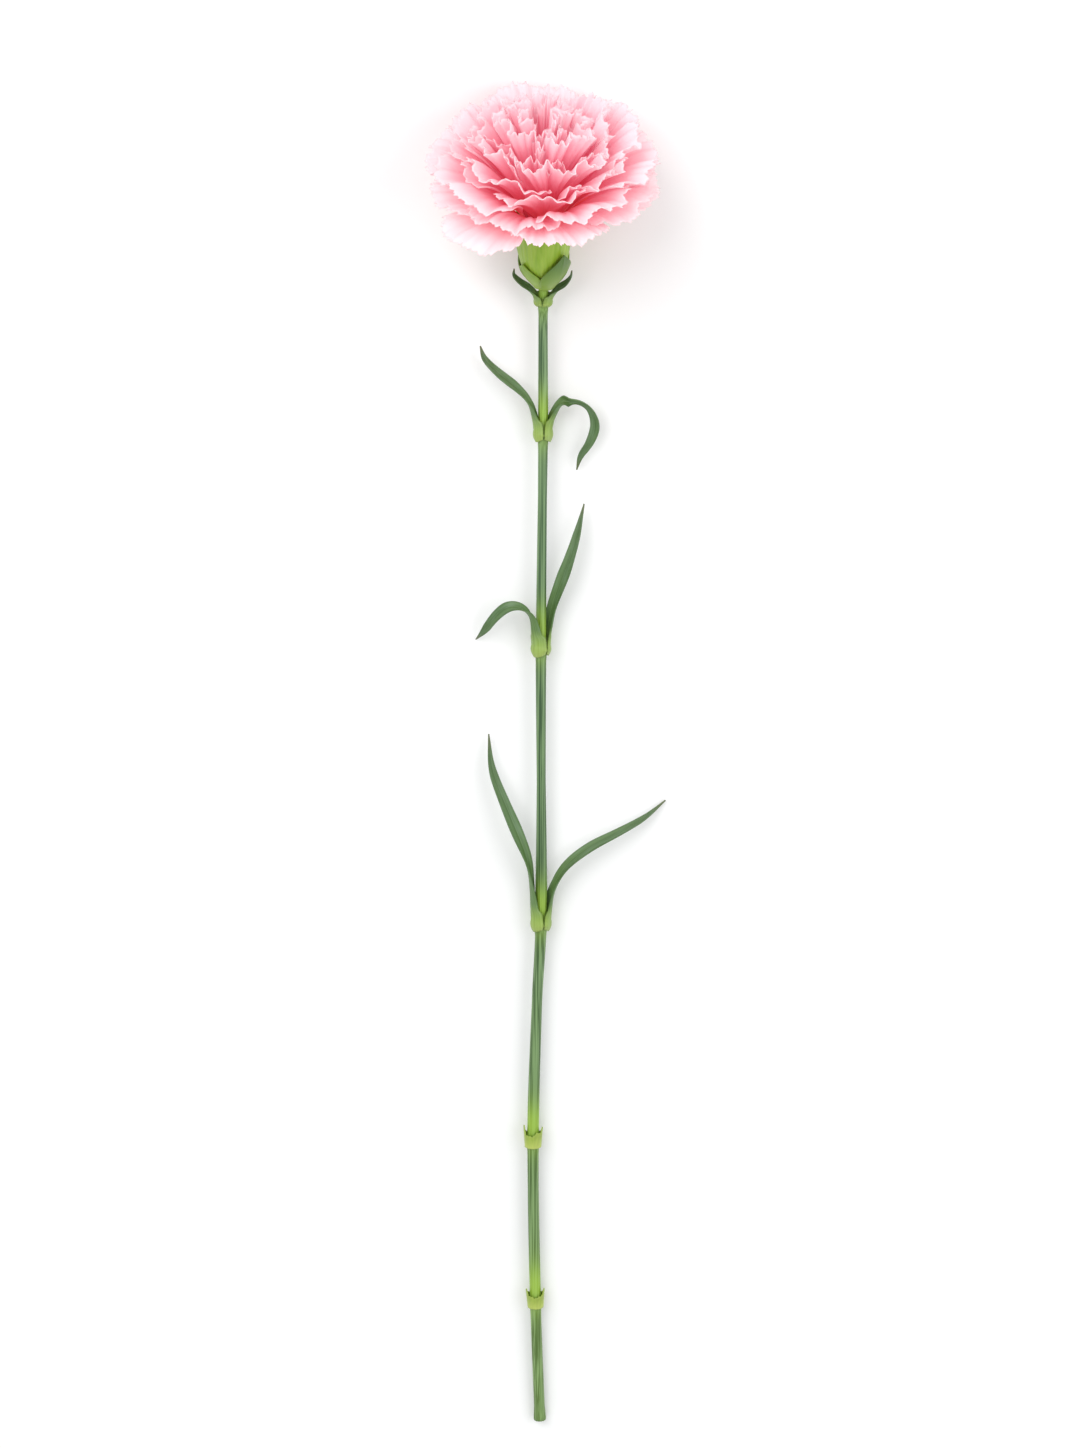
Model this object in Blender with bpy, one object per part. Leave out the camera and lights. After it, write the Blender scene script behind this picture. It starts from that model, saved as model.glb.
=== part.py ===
# Cut carnation lying on its side: the stem runs along +Y to the flower and the flower faces up and forward.
# Every length below is in millimetres; meshes are written in metres.
import math

import bpy
from mathutils import Vector

for old in list(bpy.data.objects):
    bpy.data.objects.remove(old, do_unlink=True)

MM = 0.001
GAP = 0.3

# Stem: centre line (x, y, z) and radius along y.
STEM_LINE = [
    (-0.4, -259.1, 2.35),
    (-2.0, -211.8, 3.9),
    (-2.8, -150.1, 4.6),
    (-1.4, -99.9, 5.0),
    (0.0, -70.6, 5.2),
    (0.0, 28.7, 6.0),
    (0.7, 102.6, 6.2),
    (0.7, 126.0, 5.8),
    (0.7, 142.0, 6.6),
    (0.8, 152.3, 9.6),
]
STEM_RADII = [
    (-259.1, 2.3),
    (-254.0, 1.85),
    (-220.0, 1.85),
    (-200.0, 1.95),
    (-170.0, 1.9),
    (-140.0, 2.0),
    (-100.0, 1.75),
    (-60.0, 2.0),
    (-20.0, 1.5),
    (20.0, 1.75),
    (80.0, 1.5),
    (110.0, 1.65),
    (152.3, 1.45),
]
NODE_SWELLING = 0.35
NODE_LENGTH = 2.6
NODES = {"lowest": -212.5, "bare": -151.5, "lower": -71.5, "middle": 27.0, "upper": 101.5, "neck": 146.5}
STEM_SIDES = 12

# Flower: the foot of the calyx, the tilt of its axis, and the dome that the petals fill.
FOOT = Vector((0.8, 152.3, 9.6))
TILT = math.radians(26)
MOUTH_HEIGHT = 26.0
CLAW_FOOT_HEIGHT = 5.35
CLAW_FOOT_RADII = (1.0, 4.2)
MOUTH_RADII = (1.5, 7.4)
BLOOM_RADIUS = 38.5
DOME_BASE = 40.5
DOME_HEIGHT = 24.0
BACK_RISE = 11.0
FIRST_TIP_ANGLE = 8.0
LAST_TIP_ANGLE = 97.0
PETALS = 42
GOLDEN_ANGLE = 137.508
FIRST_ANGLE = 32.0
CLAW_HALF_WIDTH = 0.62
CLAW_THICKNESS = 0.32
PETAL_THICKNESS = 0.42
RUFFLE = 1.0
RUFFLES_AROUND = 8
DROOP = 1.12
EDGE_REACH = 0.36
GUARD_SPREAD = 27
HEART_SPREAD = 35
REST_HEIGHT = -0.8

# Calyx: outer profile as (height, radius) from its foot.
CALYX_PROFILE = [(0.0, 2.5), (1.5, 3.2), (3.5, 5.0), (6.0, 6.9), (9.5, 7.7), (15.0, 8.1), (22.0, 8.8)]
CALYX_WALL = 0.7
CALYX_TEETH = 5
TOOTH_LENGTH = 3.2
RECEPTACLE = [(1.5, 1.55), (3.2, 3.2), (4.4, 4.5), (5.0, 4.5)]

SIDE = Vector((1.0, 0.0, 0.0))
AXIS = Vector((0.0, math.cos(TILT), math.sin(TILT)))
FRONT = Vector((0.0, -math.sin(TILT), math.cos(TILT)))


def makeMaterial(name, colour, roughness):
    material = bpy.data.materials.new(name)
    material.use_nodes = True
    shader = material.node_tree.nodes["Principled BSDF"]
    shader.inputs["Base Color"].default_value = (*colour, 1.0)
    shader.inputs["Roughness"].default_value = roughness
    return material


def makeSolid(name, points, faces, colour, roughness=0.6):
    mesh = bpy.data.meshes.new(name)
    mesh.from_pydata([Vector(p) * MM for p in points], [], faces)
    mesh.validate()
    for polygon in mesh.polygons:
        polygon.use_smooth = True
    solid = bpy.data.objects.new(name, mesh)
    bpy.context.collection.objects.link(solid)
    mesh.materials.append(makeMaterial(name, colour, roughness))
    return solid


def valueAt(table, x):
    if x <= table[0][0]:
        return table[0][1]
    for (x0, v0), (x1, v1) in zip(table, table[1:]):
        if x <= x1:
            k = (x - x0) / (x1 - x0)
            return v0 + (v1 - v0) * k
    return table[-1][1]


def splinePoint(points, position):
    """A point on the smooth curve through the points; position runs from 0 to their number less one."""
    last = len(points) - 1
    i = min(int(position), last - 1)
    k = position - i
    p1, p2 = Vector(points[i]), Vector(points[i + 1])
    p0 = Vector(points[i - 1]) if i > 0 else p1 * 2 - p2
    p3 = Vector(points[i + 2]) if i + 2 <= last else p2 * 2 - p1
    m1 = (p2 - p0) * ((p2 - p1).length / ((p2 - p1).length + (p1 - p0).length))
    m2 = (p3 - p1) * ((p2 - p1).length / ((p3 - p2).length + (p2 - p1).length))
    k2, k3 = k * k, k * k * k
    return p1 * (2 * k3 - 3 * k2 + 1) + m1 * (k3 - 2 * k2 + k) + p2 * (3 * k2 - 2 * k3) + m2 * (k3 - k2)


def stemAt(y):
    """The stem's centre and direction where it passes y."""
    low, high = 0.0, len(STEM_LINE) - 1.0
    for _ in range(40):
        middle = (low + high) / 2
        if splinePoint(STEM_LINE, middle).y < y:
            low = middle
        else:
            high = middle
    ahead = splinePoint(STEM_LINE, min(low + 0.02, len(STEM_LINE) - 1.0))
    behind = splinePoint(STEM_LINE, max(low - 0.02, 0.0))
    return splinePoint(STEM_LINE, low), (ahead - behind).normalized()


def stemRadius(y):
    swelling = sum(math.exp(-(((y - node) / NODE_LENGTH) ** 2)) for node in NODES.values())
    return valueAt(STEM_RADII, y) + NODE_SWELLING * swelling


def makeTube(name, rings, colour):
    """A solid of rings (centre, direction, radius), closed by a cap at each end."""
    points, faces = [], []
    for centre, direction, radius in rings:
        across = direction.cross(Vector((0, 0, 1))).normalized()
        up = across.cross(direction).normalized()
        for i in range(STEM_SIDES):
            a = 2 * math.pi * i / STEM_SIDES
            points.append(centre + (across * math.cos(a) + up * math.sin(a)) * radius)
    for j in range(len(rings) - 1):
        for i in range(STEM_SIDES):
            k = (i + 1) % STEM_SIDES
            a, b = j * STEM_SIDES, (j + 1) * STEM_SIDES
            faces.append((a + i, b + i, b + k, a + k))
    faces.append(tuple(range(STEM_SIDES)))
    faces.append(tuple(reversed(range((len(rings) - 1) * STEM_SIDES, len(rings) * STEM_SIDES))))
    return makeSolid(name, points, faces, colour)


def makeSheet(name, rows, thickness, colour, closed=False):
    """A solid around a grid of points: half of thickness(j) to either side; closed rows are rings."""
    height, width = len(rows), len(rows[0])
    outer, inner = [], []
    for j, row in enumerate(rows):
        for i, point in enumerate(row):
            left = row[(i - 1) % width] if closed else row[max(i - 1, 0)]
            right = row[(i + 1) % width] if closed else row[min(i + 1, width - 1)]
            along = rows[min(j + 1, height - 1)][i] - rows[max(j - 1, 0)][i]
            normal = (right - left).cross(along).normalized()
            outer.append(point + normal * thickness(j) / 2)
            inner.append(point - normal * thickness(j) / 2)
    size = height * width
    faces = []
    for j in range(height - 1):
        for i in range(width if closed else width - 1):
            k = (i + 1) % width
            a, b, c, d = j * width + i, j * width + k, (j + 1) * width + k, (j + 1) * width + i
            faces += [(a, b, c), (a, c, d), (size + a, size + c, size + b), (size + a, size + d, size + c)]
    for i in range(width if closed else width - 1):
        k = (i + 1) % width
        last = (height - 1) * width
        faces += [(i, size + i, size + k), (i, size + k, k)]
        faces += [(last + i, last + k, size + last + k), (last + i, size + last + k, size + last + i)]
    if not closed:
        for j in range(height - 1):
            a, b = j * width, (j + 1) * width
            faces += [(a, b, size + b), (a, size + b, size + a)]
            a, b = a + width - 1, b + width - 1
            faces += [(a, size + b, b), (a, size + a, size + b)]
    return makeSolid(name, outer + inner, faces, colour)


def flowerPoint(radius, angle, height):
    return FOOT + AXIS * height + (SIDE * math.cos(angle) + FRONT * math.sin(angle)) * radius


# Stem, with the receptacle that carries the petals.
stations = [-259.1, -257.0, -254.0, -246.0, -232.0, -220.0]
for node in NODES.values():
    stations += [node - 5, node - 2.5, node, node + 2.5, node + 5]
stations += [-190.0, -172.0, -135.0, -118.0, -100.0, -85.0, -50.0, -28.0, -5.0, 14.0]
stations += [42.0, 58.0, 75.0, 90.0, 113.0, 122.0, 130.0, 137.0]
stemRings = []
for y in sorted(stations):
    if y < 151.0:
        centre, direction = stemAt(y)
        stemRings.append((centre, direction, stemRadius(y)))
stemRings.append((FOOT.copy(), AXIS, 1.45))
for height, radius in RECEPTACLE:
    stemRings.append((FOOT + AXIS * height, AXIS, radius))
makeTube("stem", stemRings, (0.14, 0.25, 0.10))


# Calyx: a goblet with five teeth.
calyxRows = []
calyxAround = CALYX_TEETH * 4
for j, (height, radius) in enumerate(CALYX_PROFILE + [(26.5, 9.2)]):
    row = []
    for i in range(calyxAround):
        angle = 2 * math.pi * i / calyxAround
        tooth = abs((i % 4) - 2) / 2
        lift = (tooth - 1) * TOOTH_LENGTH if j == len(CALYX_PROFILE) else 0.0
        row.append(flowerPoint(radius - CALYX_WALL / 2, angle, height + lift))
    calyxRows.append(row)
makeSheet("calyx", calyxRows, lambda j: CALYX_WALL, (0.30, 0.42, 0.08), closed=True)


def calyxRadius(height):
    return valueAt(CALYX_PROFILE, height)


def makeBract(name, middle, halfAngle, length, offset):
    rows = []
    for j in range(6):
        f = j / 5
        height = 0.9 + (length - 0.9) * f
        spread = math.radians(halfAngle) * (1 - f**2.2) + 0.03
        radius = calyxRadius(height) + offset + 0.25 + 0.3 * f
        row = []
        for i in range(7):
            q = i / 3 - 1
            row.append(flowerPoint(radius, math.radians(middle) + q * spread, height))
        rows.append(row)
    makeSheet(name, rows, lambda j: 0.45, (0.09, 0.16, 0.06))


makeBract("bract_inner_1", 145, 68, 10.5, GAP)
makeBract("bract_inner_2", 325, 68, 10.5, GAP)
makeBract("bract_outer_1", 55, 72, 13.0, GAP * 2 + 0.65)
makeBract("bract_outer_2", 235, 72, 12.0, GAP * 2 + 0.65)


# Leaves: half of a cup on the node, which opens into a channelled blade.
def makeLeaf(name, node, outward, path, widths, facing, cup=(2.3, 2.8), thickness=0.7, twist=1.8):
    """path runs on from the cup; widths are half widths along it; facing is what the blade's upper side turns to."""
    centre, direction = stemAt(NODES[node])
    outward = Vector(outward)
    outward = (outward - direction * outward.dot(direction)).normalized()
    centres, normals, spans, radii = [], [], [], []
    cupLength = 3.4 if node == "neck" else 6.8
    for j in range(3):
        at, along = stemAt(NODES[node] + cupLength * (j / 2 - 0.35))
        radius = max(stemRadius(NODES[node]) + GAP + thickness / 2 + 0.06, cup[0]) + (cup[1] - cup[0]) * j / 2
        centres.append(at + outward * radius)
        normals.append(-outward)
        spans.append(math.radians(83))
        radii.append(radius)
    curve = [tuple(centres[-1])] + path
    steps = 11
    for j in range(1, steps + 1):
        f = j / steps
        centres.append(splinePoint(curve, f * (len(curve) - 1)))
        turn = min(f * twist, 1.0)
        normals.append((-outward) * (1 - turn) + Vector(facing) * turn)
        half = valueAt(widths, f)
        span = math.radians(83 + (26 - 83) * min(f * 2.2, 1.0))
        spans.append(span)
        radii.append(half / span)
    rows = []
    for j, at in enumerate(centres):
        before, after = centres[max(j - 1, 0)], centres[min(j + 1, len(centres) - 1)]
        along = (after - before).normalized()
        normal = (normals[j] - along * normals[j].dot(along)).normalized()
        across = along.cross(normal)
        row = []
        for i in range(5):
            a = spans[j] * (i / 2 - 1)
            row.append(at + across * radii[j] * math.sin(a) + normal * radii[j] * (1 - math.cos(a)))
        rows.append(row)
    last = len(rows) - 1
    makeSheet(name, rows, lambda j: thickness * (1 - 0.5 * j / last), (0.10, 0.19, 0.09))


makeLeaf(
    "leaf_upper_left", "upper", (-1.0, 0.0, 0.1),
    [(-4.2, 112.4, 7.6), (-8.5, 117.7, 7.8), (-14.7, 122.8, 6.6), (-19.0, 127.2, 5.2), (-20.4, 131.4, 4.2)],
    [(0.0, 3.3), (0.2, 2.1), (0.45, 2.1), (0.8, 1.2), (1.0, 0.3)], (0.55, 0.4, 0.7),
)
makeLeaf(
    "leaf_upper_right", "upper", (1.0, 0.0, -0.1),
    [(7.2, 112.3, 6.2), (12.0, 113.2, 6.0), (16.6, 110.4, 5.6), (18.4, 104.8, 5.0),
     (16.6, 98.6, 4.2), (13.4, 93.6, 3.4), (12.1, 88.8, 2.6)],
    [(0.0, 3.3), (0.2, 2.1), (0.5, 1.9), (0.8, 1.3), (1.0, 0.3)], (-0.5, -0.3, 0.25),
)
makeLeaf(
    "leaf_middle_left", "middle", (-0.75, 0.0, 0.66),
    [(-3.8, 39.6, 10.4), (-7.2, 42.6, 11.0), (-11.4, 42.6, 10.0), (-15.6, 38.9, 7.8), (-19.4, 33.4, 4.9),
     (-22.4, 29.4, 0.9)],
    [(0.0, 3.4), (0.18, 2.2), (0.5, 2.0), (0.8, 1.4), (1.0, 0.3)], (0.25, 0.5, 0.8),
)
makeLeaf(
    "leaf_middle_right", "middle", (0.75, 0.0, -0.66),
    [(4.2, 41.6, 5.0), (6.6, 49.6, 6.4), (9.4, 57.6, 6.8), (12.2, 66.8, 5.8), (14.6, 77.3, 3.8)],
    [(0.0, 3.4), (0.2, 2.3), (0.5, 2.4), (0.8, 1.5), (1.0, 0.3)], (-0.5, 0.1, 0.8),
)
makeLeaf(
    "leaf_lower_left", "lower", (-0.95, 0.0, 0.3),
    [(-3.7, -57.1, 6.4), (-5.0, -47.3, 7.8), (-8.6, -37.0, 8.2), (-12.9, -26.6, 7.0), (-17.0, -15.4, 4.9),
     (-18.0, -3.8, 2.4)],
    [(0.0, 3.5), (0.2, 2.4), (0.5, 2.4), (0.8, 1.6), (1.0, 0.3)], (0.5, -0.1, 0.8),
)
makeLeaf(
    "leaf_lower_right", "lower", (0.95, 0.0, -0.3),
    [(4.6, -58.8, 5.2), (9.0, -50.4, 6.0), (17.0, -43.6, 6.2), (27.0, -38.4, 5.2), (36.0, -33.6, 3.2),
     (43.2, -27.9, 0.9)],
    [(0.0, 3.5), (0.2, 2.3), (0.5, 2.2), (0.8, 1.4), (1.0, 0.3)], (-0.5, 0.5, 0.5),
)
makeLeaf(
    "leaf_neck_left", "neck", (-0.97, 0.0, -0.1),
    [(-4.4, 151.4, 8.8), (-7.2, 153.8, 10.0), (-9.2, 156.2, 11.2), (-8.9, 158.4, 12.2)],
    [(0.0, 2.4), (0.3, 1.9), (0.7, 1.2), (1.0, 0.25)], (0.5, 0.6, 0.5), cup=(1.9, 2.6), thickness=0.5,
)
makeLeaf(
    "leaf_neck_right", "neck", (0.97, 0.0, 0.1),
    [(5.9, 151.2, 9.4), (8.6, 153.6, 11.4), (10.0, 155.8, 13.4), (10.2, 158.2, 15.2)],
    [(0.0, 2.4), (0.3, 1.9), (0.7, 1.2), (1.0, 0.25)], (-0.4, 0.6, 0.5), cup=(1.9, 2.6), thickness=0.5,
)


# Torn cups on the two nodes whose leaves were stripped.
def makeTornCup(name, node, tips):
    around = 16
    rows = []
    for j in range(4):
        row = []
        for i in range(around):
            angle = 2 * math.pi * i / around
            reach = 2.2
            for tip, extra in tips:
                turn = math.atan2(math.sin(angle - math.radians(tip)), math.cos(angle - math.radians(tip)))
                reach += extra * math.exp(-((turn / 0.55) ** 2))
            y = NODES[node] - 2.4 + (2.4 + reach) * j / 3
            centre, direction = stemAt(y)
            across = direction.cross(Vector((0, 0, 1))).normalized()
            up = across.cross(direction).normalized()
            radius = stemRadius(NODES[node]) + GAP + 0.3 + 0.16 * j
            row.append(centre + (across * math.cos(angle) + up * math.sin(angle)) * radius)
        rows.append(row)
    makeSheet(name, rows, lambda j: 0.5, (0.26, 0.36, 0.08), closed=True)


makeTornCup("sheath_bare_node", "bare", [(175, 3.2), (5, 2.6), (60, 1.2)])
makeTornCup("sheath_lowest_node", "lowest", [(170, 2.2), (10, 2.4)])


# Petals: each follows its own curve of one family that fans out of the calyx, so no two of them cross.
def petalCurve(t, angle, s):
    """A point of the fan: t is 0 at the heart and 1 at the guard petals, s runs from the mouth to the edge."""
    tip = math.radians(FIRST_TIP_ANGLE + (LAST_TIP_ANGLE - FIRST_TIP_ANGLE) * t**0.85)
    back = (1 - math.sin(angle)) / 2
    edgeRadius = BLOOM_RADIUS * math.sin(tip)
    edgeHeight = DOME_BASE + DOME_HEIGHT * math.cos(tip) + BACK_RISE * back * math.sin(tip) ** 2
    down = max(-math.sin(angle) * math.cos(TILT), 0.05)
    edgeRadius = min(edgeRadius, (FOOT.z + edgeHeight * math.sin(TILT) - REST_HEIGHT) / down)
    mouthRadius = math.sqrt(MOUTH_RADII[0] ** 2 + (MOUTH_RADII[1] ** 2 - MOUTH_RADII[0] ** 2) * t)
    lean = math.radians(4 + 20 * t)
    droop = tip * DROOP
    reach = math.hypot(edgeRadius - mouthRadius, edgeHeight - MOUTH_HEIGHT) * EDGE_REACH
    rail = [
        (mouthRadius, MOUTH_HEIGHT),
        (mouthRadius + 8 * math.sin(lean), MOUTH_HEIGHT + 8 * math.cos(lean)),
        (edgeRadius - reach * math.sin(droop), edgeHeight - reach * math.cos(droop)),
        (edgeRadius, edgeHeight),
    ]
    weights = [(1 - s) ** 3, 3 * s * (1 - s) ** 2, 3 * s * s * (1 - s), s**3]
    radius = sum(w * r for w, (r, h) in zip(weights, rail))
    height = sum(w * h for w, (r, h) in zip(weights, rail))
    return radius, height


def makePetal(index):
    t = (index + 0.5) / PETALS
    middle = math.radians(GOLDEN_ANGLE * index + FIRST_ANGLE)
    fullSpread = math.radians(GUARD_SPREAD + HEART_SPREAD * (1 - t) ** 1.2)
    length = 1.0 - 0.06 * ((index * 7) % 5) / 4
    footRadius = math.sqrt(CLAW_FOOT_RADII[0] ** 2 + (CLAW_FOOT_RADII[1] ** 2 - CLAW_FOOT_RADII[0] ** 2) * t)
    mouthRadius = petalCurve(t, middle, 0.0)[0]
    rows = []
    for k in (0.0, 0.5):
        radius = footRadius + (mouthRadius - footRadius) * k
        height = CLAW_FOOT_HEIGHT + (MOUTH_HEIGHT - CLAW_FOOT_HEIGHT) * k
        spread = (0.42 + 0.2 * k) / radius
        rows.append([flowerPoint(radius, middle + spread * (i / 3 - 1), height) for i in range(7)])
    for k in (0.0, 0.16, 0.36, 0.58, 0.8, 1.0):
        row = []
        for i in range(7):
            q = i / 3 - 1
            s = k * length * (1 - 0.16 * abs(q) ** 3)
            grow = min(k / 0.75, 1.0)
            grow = grow * grow * (3 - 2 * grow)
            spread = CLAW_HALF_WIDTH / mouthRadius * (1 - grow) + fullSpread * grow
            angle = middle + q * spread
            ruffle = RUFFLE * k * k * math.sin(RUFFLES_AROUND * angle + 2.5 * t * math.pi)
            shift = t + ruffle / 46
            radius, height = petalCurve(min(max(shift, 0.001), 1.02), angle, s)
            row.append(flowerPoint(radius, angle, height))
        rows.append(row)
    makeSheet(
        f"petal_{index + 1:02d}", rows, lambda j: CLAW_THICKNESS if j < 3 else PETAL_THICKNESS, (0.85, 0.42, 0.50)
    )


for index in range(PETALS):
    makePetal(index)

# Put the middle of the lying flower's box over the origin and its lowest point on the surface.
parts = list(bpy.data.objects)
corners = [v.co for part in parts for v in part.data.vertices]
low = Vector([min(c[i] for c in corners) for i in range(3)])
high = Vector([max(c[i] for c in corners) for i in range(3)])
offset = Vector(((low.x + high.x) / 2, (low.y + high.y) / 2, low.z))
for part in parts:
    for vertex in part.data.vertices:
        vertex.co -= offset
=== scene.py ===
import math
import random

import bpy
import numpy as np
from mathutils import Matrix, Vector


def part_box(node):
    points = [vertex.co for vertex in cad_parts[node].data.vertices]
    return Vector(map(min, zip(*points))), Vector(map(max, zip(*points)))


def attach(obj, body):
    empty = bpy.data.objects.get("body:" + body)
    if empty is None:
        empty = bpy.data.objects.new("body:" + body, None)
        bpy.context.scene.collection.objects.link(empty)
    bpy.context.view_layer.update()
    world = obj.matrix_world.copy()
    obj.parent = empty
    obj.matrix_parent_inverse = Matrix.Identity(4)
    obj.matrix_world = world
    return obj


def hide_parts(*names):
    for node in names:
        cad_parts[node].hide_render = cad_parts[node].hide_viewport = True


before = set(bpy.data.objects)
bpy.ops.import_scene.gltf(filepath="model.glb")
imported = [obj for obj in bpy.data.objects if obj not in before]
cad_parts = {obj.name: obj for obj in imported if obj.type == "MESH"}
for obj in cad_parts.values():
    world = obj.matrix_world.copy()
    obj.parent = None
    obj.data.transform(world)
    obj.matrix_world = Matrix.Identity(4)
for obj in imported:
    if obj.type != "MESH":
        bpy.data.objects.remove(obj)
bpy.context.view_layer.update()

bpy.ops.object.select_all(action="DESELECT")
print("loaded", len(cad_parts), "parts")

# The flower is described in millimetres from its own zero on the stem, and shift carries it into the frame.
# foot is where the calyx starts, tilt is how far the head looks up, and nothing goes below lowest.
lying = {"cutEnd": -259.23, "tilt": 26.0, "foot": (0.8, 152.3, 9.6), "lowest": 0.25}
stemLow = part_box("stem")[0]
calyxLow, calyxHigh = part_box("calyx")
footX = (calyxLow[0] + calyxHigh[0]) * 500        # half of the sum, in millimetres
shift = np.array([footX - lying["foot"][0], stemLow[1] * 1000 - lying["cutEnd"], 0.0])

# The head's own directions: across, out of the stem, and towards the lit side
foot = np.array(lying["foot"])
tilt = math.radians(lying["tilt"])
sideways = np.array([1.0, 0.0, 0.0])
axis = np.array([0.0, math.cos(tilt), math.sin(tilt)])
front = np.array([0.0, -math.sin(tilt), math.cos(tilt)])


def linear(hexColour):
    channels = [int(hexColour[i : i + 2], 16) / 255 for i in (1, 3, 5)]
    return tuple(c / 12.92 if c <= 0.04045 else ((c + 0.055) / 1.055) ** 2.4 for c in channels) + (1.0,)


def newMaterial(name):
    material = bpy.data.materials.new(name)
    material.use_nodes = True
    return material, material.node_tree, material.node_tree.nodes["Principled BSDF"]


def setStops(elements, stops):
    while len(elements) < len(stops):
        elements.new(0.5)
    for element, (place, colour) in zip(elements, stops):
        element.position = place
        element.color = linear(colour) if isinstance(colour, str) else (colour, colour, colour, 1.0)


# A number names a socket by its place: a colour mix takes its two colours at 6 and 7 and gives one at 2
def addNode(tree, kind, settings=None, links=None):
    node = tree.nodes.new(kind)
    for key, value in (settings or {}).items():
        if key == "stops":
            setStops(node.color_ramp.elements, value)
        elif isinstance(key, int) or key in node.inputs:
            node.inputs[key].default_value = value
        else:
            setattr(node, key, value)
    for socket, source in (links or {}).items():
        tree.links.new(source, node.inputs[socket])
    return node


# A grid laid out by place(u, v), u from -1 to 1 across and v from 0 to 1 along, in millimetres.
# wrap joins its two sides into a tube, thickness gives it a wall, and tones are values for the material.
def shapeGrid(name, across, along, place, thickness=0.0, wrap=False, tones=None):
    bpy.ops.mesh.primitive_grid_add(x_subdivisions=across, y_subdivisions=along, size=2)
    piece = bpy.context.active_object
    piece.name = name
    count = len(piece.data.vertices)
    flat = np.empty(count * 3)
    piece.data.vertices.foreach_get("co", flat)
    flat = flat.reshape(-1, 3)
    u, v = flat[:, 0], (flat[:, 1] + 1) / 2
    points = place(u, v) + shift
    points[:, 2] = np.maximum(points[:, 2], lying["lowest"])
    piece.data.vertices.foreach_set("co", (points / 1000).ravel())
    for key, value in (tones or {}).items():
        layer = piece.data.attributes.new(key, "FLOAT", "POINT")
        layer.data.foreach_set("value", np.broadcast_to(value(u, v), u.shape).astype(np.float32))
    piece.data.update()
    if wrap:
        bpy.ops.object.mode_set(mode="EDIT")
        bpy.ops.mesh.select_all(action="SELECT")
        bpy.ops.mesh.remove_doubles(threshold=0.00001)
        if thickness == 0.0:
            bpy.ops.mesh.fill_holes(sides=0)
        bpy.ops.mesh.normals_make_consistent(inside=False)
        bpy.ops.object.mode_set(mode="OBJECT")
    if thickness:
        wall = piece.modifiers.new("wall", "SOLIDIFY")
        wall.thickness = thickness / 1000
        wall.offset = 0.0
        bpy.ops.object.modifier_apply(modifier="wall")
    bpy.ops.object.shade_smooth()
    piece.select_set(False)
    return piece


def finishPiece(piece, node, material):
    piece.data.materials.clear()
    piece.data.materials.append(material)
    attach(piece, "root")
    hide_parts(node)


# A smooth curve through points that are not evenly spaced
def splineThrough(points, position):
    points = [np.array(p, float) for p in points]
    last = len(points) - 1
    i = min(int(position), last - 1)
    k = position - i
    p1, p2 = points[i], points[i + 1]
    p0 = points[i - 1] if i > 0 else p1 * 2 - p2
    p3 = points[i + 2] if i + 2 <= last else p2 * 2 - p1
    mid, before, after = (np.linalg.norm(b - a) for a, b in ((p1, p2), (p0, p1), (p2, p3)))
    m1 = (p2 - p0) * mid / (mid + before)
    m2 = (p3 - p1) * mid / (after + mid)
    k2, k3 = k * k, k * k * k
    return p1 * (2 * k3 - 3 * k2 + 1) + m1 * (k3 - 2 * k2 + k) + p2 * (3 * k2 - 2 * k3) + m2 * (k3 - k2)


def unit(vector):
    return vector / np.linalg.norm(vector)


# Stem: a waxy green shoot, swollen at its nodes
stem = {
    "line": [(-0.4, -259.1, 2.35), (-2.0, -211.8, 3.9), (-2.8, -150.1, 4.6), (-1.4, -99.9, 5.0),
             (0.0, -70.6, 5.2), (0.0, 28.7, 6.0), (0.7, 102.6, 6.2), (0.7, 126.0, 5.8),
             (0.7, 142.0, 6.6), (0.8, 152.3, 9.6)],
    "radii": [(-259.1, 2.25), (-254.0, 1.85), (-220.0, 1.85), (-200.0, 1.95), (-170.0, 1.9),
              (-140.0, 2.0), (-100.0, 1.75), (-60.0, 2.0), (-20.0, 1.5), (20.0, 1.75), (80.0, 1.5),
              (110.0, 1.65), (152.3, 1.45)],        # place along the stem, radius
    "nodes": {"lowest": -212.5, "bare": -151.5, "lower": -71.5,
              "middle": 27.0, "upper": 101.5, "neck": 146.5},
    "low": -259.1, "length": 411.2, "cutTaper": 0.96, "swelling": 0.35, "nodeLength": 2.6,
    "ridges": 14, "ridgeHeight": 0.035, "glowAbove": 6.0, "glowLength": 9.0, "across": 56, "along": 420,
}
stemTable = np.array([splineThrough(stem["line"], p) for p in np.linspace(0, len(stem["line"]) - 1, 900)])


def stemAt(y):
    centre = np.array([np.interp(y, stemTable[:, 1], stemTable[:, i]) for i in range(3)])
    ahead = np.array([np.interp(y + 0.6, stemTable[:, 1], stemTable[:, i]) for i in range(3)])
    behind = np.array([np.interp(y - 0.6, stemTable[:, 1], stemTable[:, i]) for i in range(3)])
    return centre, unit(ahead - behind)


def stemRadius(y):
    swelling = sum(np.exp(-(((y - node) / stem["nodeLength"]) ** 2)) for node in stem["nodes"].values())
    places, values = zip(*stem["radii"])
    return np.interp(y, places, values) + stem["swelling"] * swelling


def roundFrame(direction):
    across = unit(np.cross(direction, (0, 0, 1)))
    return across, np.cross(across, direction)


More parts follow.
